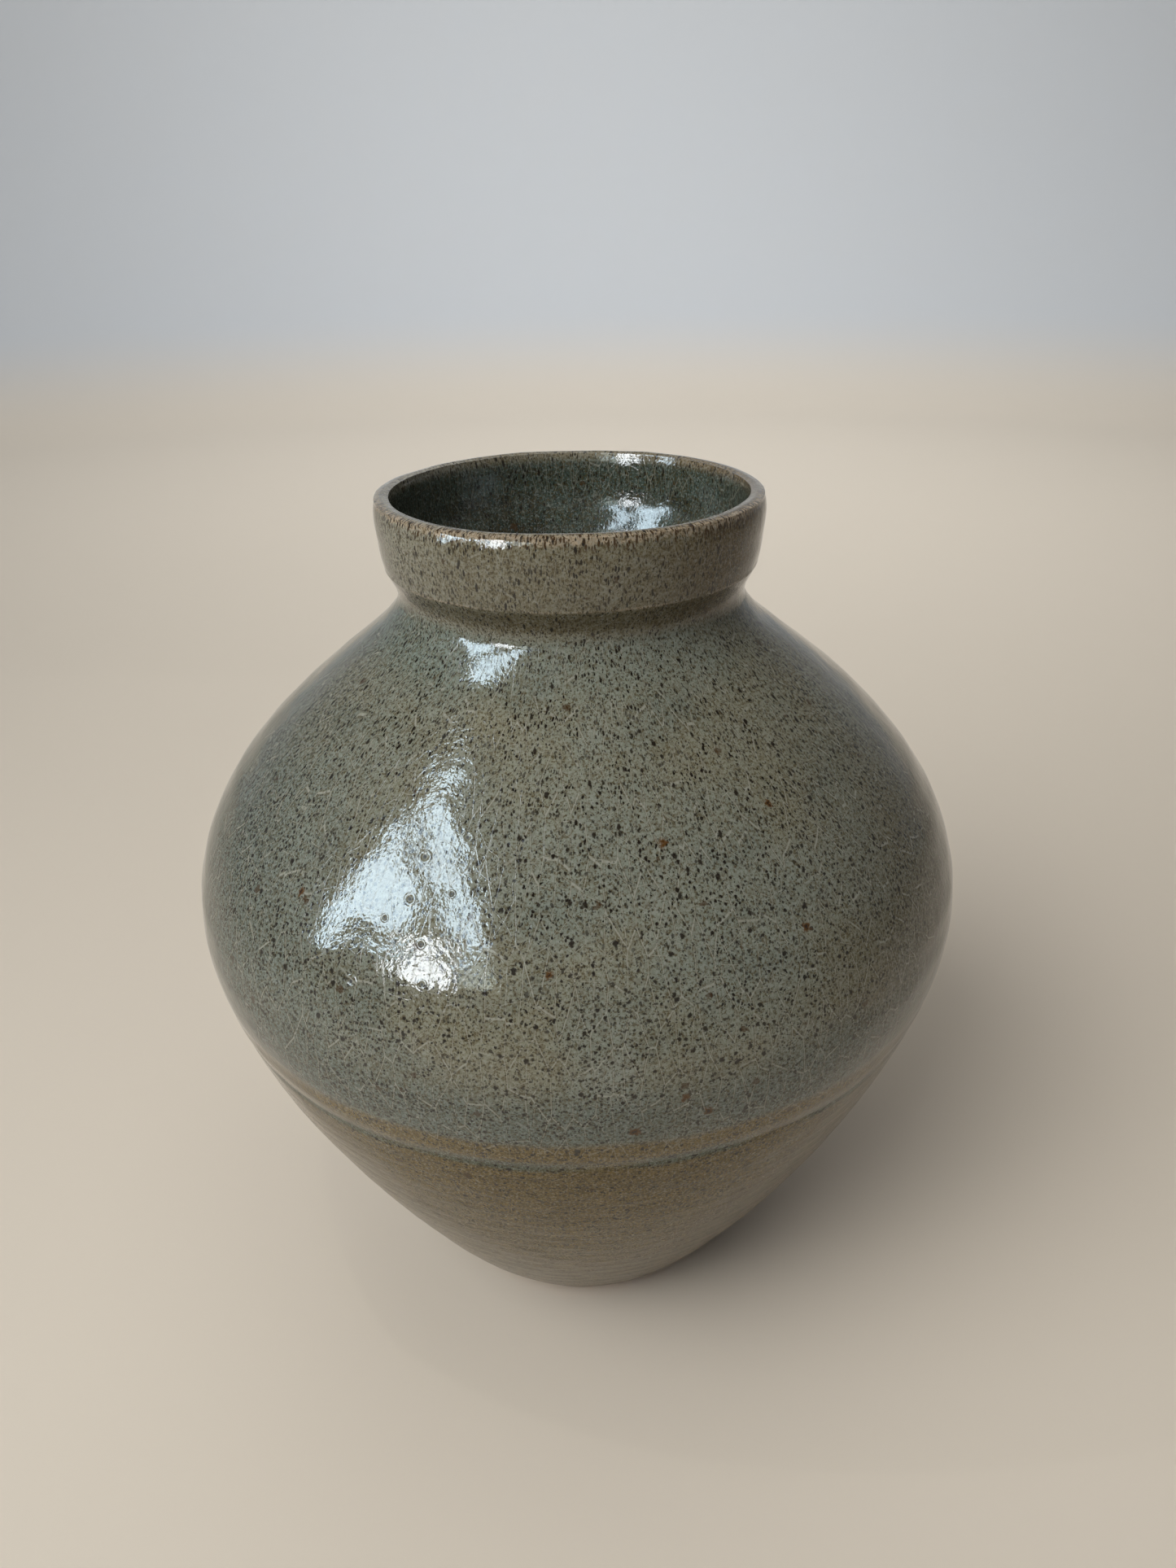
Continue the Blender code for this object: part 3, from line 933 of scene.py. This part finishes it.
def make_floor():
    """A round pale floor that curves up into a wall all the way round."""
    steps = 24
    outline = [Vector((0, 0, 0)), Vector((FLOOR_REACH, 0, 0))]
    for i in range(1, steps + 1):
        turn = i / steps * math.pi / 2
        reach = FLOOR_REACH + COVE_RADIUS * math.sin(turn)
        outline.append(Vector((reach, 0, COVE_RADIUS * (1 - math.cos(turn)))))
    outline.append(Vector((FLOOR_REACH + COVE_RADIUS, 0, WALL_TOP)))
    form = bmesh.new()
    verts = [form.verts.new(point) for point in outline]
    edges = [form.edges.new(pair) for pair in zip(verts, verts[1:])]
    bmesh.ops.spin(
        form,
        geom=verts + edges,
        cent=(0, 0, 0),
        axis=(0, 0, 1),
        angle=2 * math.pi,
        steps=128,
        use_merge=True,
    )
    bmesh.ops.remove_doubles(form, verts=form.verts, dist=TOUCHING)
    bmesh.ops.recalc_face_normals(form, faces=form.faces)
    mesh = bpy.data.meshes.new("floor")
    form.to_mesh(mesh)
    form.free()
    mesh.shade_smooth()
    mesh.materials.append(pale_surface())
    floor = bpy.data.objects.new("floor", mesh)
    bpy.context.scene.collection.objects.link(floor)


def direction(azimuth, elevation):
    """Unit vector towards a place in the room. Azimuth 0 is the viewer's side, -Y."""
    a, e = math.radians(azimuth), math.radians(elevation)
    return Vector((math.sin(a) * math.cos(e), -math.cos(a) * math.cos(e), math.sin(e)))


def make_pane(name, corners, strength, colour):
    """One pane of the window, through its corners as (azimuth, elevation) seen from the vase."""
    facing = direction(*WINDOW_FACING)
    centre = Vector((0, 0, WINDOW_AIM * TALL))
    points = []
    for azimuth, elevation in corners:
        towards = direction(azimuth, elevation)
        points.append(tuple(centre + towards * (WINDOW_AWAY / towards.dot(facing))))
    mesh = bpy.data.meshes.new(name)
    mesh.from_pydata(points, [], [tuple(range(len(points)))])
    material = bpy.data.materials.new(name + "_glow")
    material.use_nodes = True
    tree = material.node_tree
    tree.nodes.clear()
    glow = tree.nodes.new("ShaderNodeEmission")
    glow.inputs["Color"].default_value = (*colour, 1)
    glow.inputs["Strength"].default_value = strength
    out = tree.nodes.new("ShaderNodeOutputMaterial")
    tree.links.new(glow.outputs[0], out.inputs[0])
    mesh.materials.append(material)
    pane = bpy.data.objects.new(name, mesh)
    pane.visible_camera = False
    pane.visible_diffuse = False
    bpy.context.scene.collection.objects.link(pane)


def make_window():
    """A window on the viewer's left, broken up by what stands in front of it."""
    for name, strength, colour, corners in WINDOW_PANES:
        make_pane(name, corners, strength, colour)


def add_area_light(name, size, power, colour, spread, place, turn):
    """A square light that only brightens: neither the camera nor a reflection shows it."""
    data = bpy.data.lights.new(name, "AREA")
    data.shape = "SQUARE"
    data.size = size
    data.energy = power
    data.color = colour
    data.spread = math.radians(spread)
    light = bpy.data.objects.new(name, data)
    light.location = place
    light.rotation_euler = turn.to_euler()
    light.visible_camera = False
    light.visible_glossy = False
    bpy.context.scene.collection.objects.link(light)


def make_soft_lights():
    """Each faces the middle of the vase."""
    middle = Vector((0, 0, 0.5 * TALL))
    for name, azimuth, elevation, away, size, power, colour, spread in SOFT_LIGHTS:
        towards = direction(azimuth, elevation)
        turn = towards.to_track_quat("Z", "Y")
        add_area_light(name, size, power, colour, spread, middle + towards * away, turn)


def make_wall_washes():
    """Four soft lights over the vase, each turned away from it to brighten the wall."""
    for azimuth, power in WALL_WASHES:
        place = direction(azimuth, 0) * WASH_OUT + Vector((0, 0, WASH_HEIGHT))
        turn = direction(azimuth, WASH_TILT).to_track_quat("-Z", "Y")
        name = f"wall_wash_{azimuth}"
        add_area_light(name, 1.0, power, (0.94, 0.97, 1.0), 120, place, turn)


def make_world():
    """A faint, even light from everywhere."""
    world = bpy.data.worlds.new("soft_room")
    bpy.context.scene.world = world
    world.use_nodes = True
    background = world.node_tree.nodes["Background"]
    background.inputs["Color"].default_value = (0.96, 0.96, 1.0, 1)
    background.inputs["Strength"].default_value = 0.05


def make_camera():
    """Looks down on the vase from the front, with a phone's lens.

    The lens is given for full frame, 43.27 mm from corner to corner, and the picture is 3 to 4.
    """
    diagonal = 43.27
    long_side = 36.0
    picture = (1445, 1927)
    lens_pixels = PHONE_LENS / diagonal * math.hypot(*picture)
    data = bpy.data.cameras.new("camera")
    data.sensor_width = long_side
    data.lens = lens_pixels / picture[1] * long_side
    camera = bpy.data.objects.new("camera", data)
    camera.location = tuple(share * TALL for share in CAMERA_PLACE)
    pitch = Matrix.Rotation(math.radians(90 - LOOKS_DOWN), 4, "X")
    yaw = Matrix.Rotation(math.radians(TURNED_LEFT), 4, "Z")
    roll = Matrix.Rotation(math.radians(ROLLED), 4, "Z")
    camera.matrix_world = Matrix.Translation(camera.location) @ yaw @ pitch @ roll
    bpy.context.scene.collection.objects.link(camera)
    bpy.context.scene.camera = camera


make_floor()
make_window()
make_soft_lights()
make_wall_washes()
make_world()
make_camera()
bpy.context.scene.view_settings.view_transform = "Standard"
